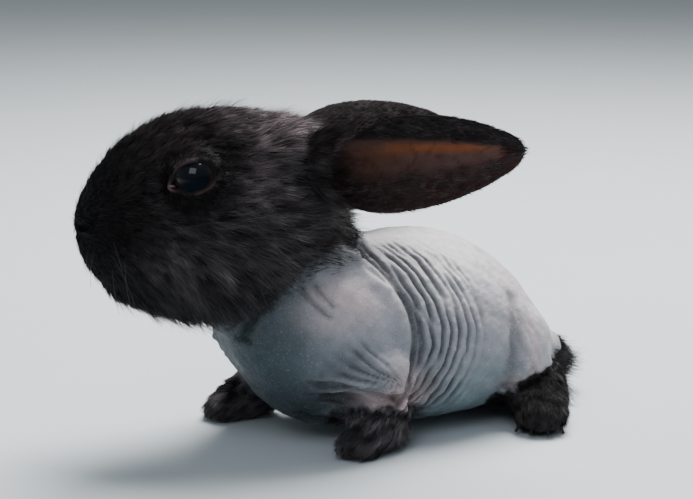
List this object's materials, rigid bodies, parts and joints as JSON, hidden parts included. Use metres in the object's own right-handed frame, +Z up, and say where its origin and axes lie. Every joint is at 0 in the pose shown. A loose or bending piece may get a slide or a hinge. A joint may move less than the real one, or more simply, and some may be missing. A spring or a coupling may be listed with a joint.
{
  "type": "hairless rabbit",
  "caption": "Still, life-size model of a young hairless rabbit, sitting with its head up and ears laid back; bald body with furred head, feet and tail.",
  "frame": {"origin": "middle of the whole model's box, at the height of the soles", "axes": "-X towards the chest, the rabbit's left side towards -Y, +Z up; the head is turned to the rabbit's right"},
  "size_m": [0.1484, 0.0788, 0.0891],
  "materials": {
    "black_coat": "matt fur",
    "ear_coat": "thin short fur over skin",
    "bald_skin": "soft wrinkled skin",
    "eye_gloss": "wet gloss"
  },
  "bodies": {
    "root": {"head": "black_coat", "neck": "black_coat", "tail": "black_coat", "torso": "bald_skin", "foreleg_left": "bald_skin", "foreleg_right": "bald_skin", "thigh_left": "bald_skin", "thigh_right": "bald_skin", "forefoot_left": "black_coat", "forefoot_right": "black_coat", "hindfoot_left": "black_coat", "hindfoot_right": "black_coat", "ear_left": "ear_coat", "ear_right": "ear_coat", "eye_left": "eye_gloss", "eye_right": "eye_gloss"}
  },
  "joints": []
}
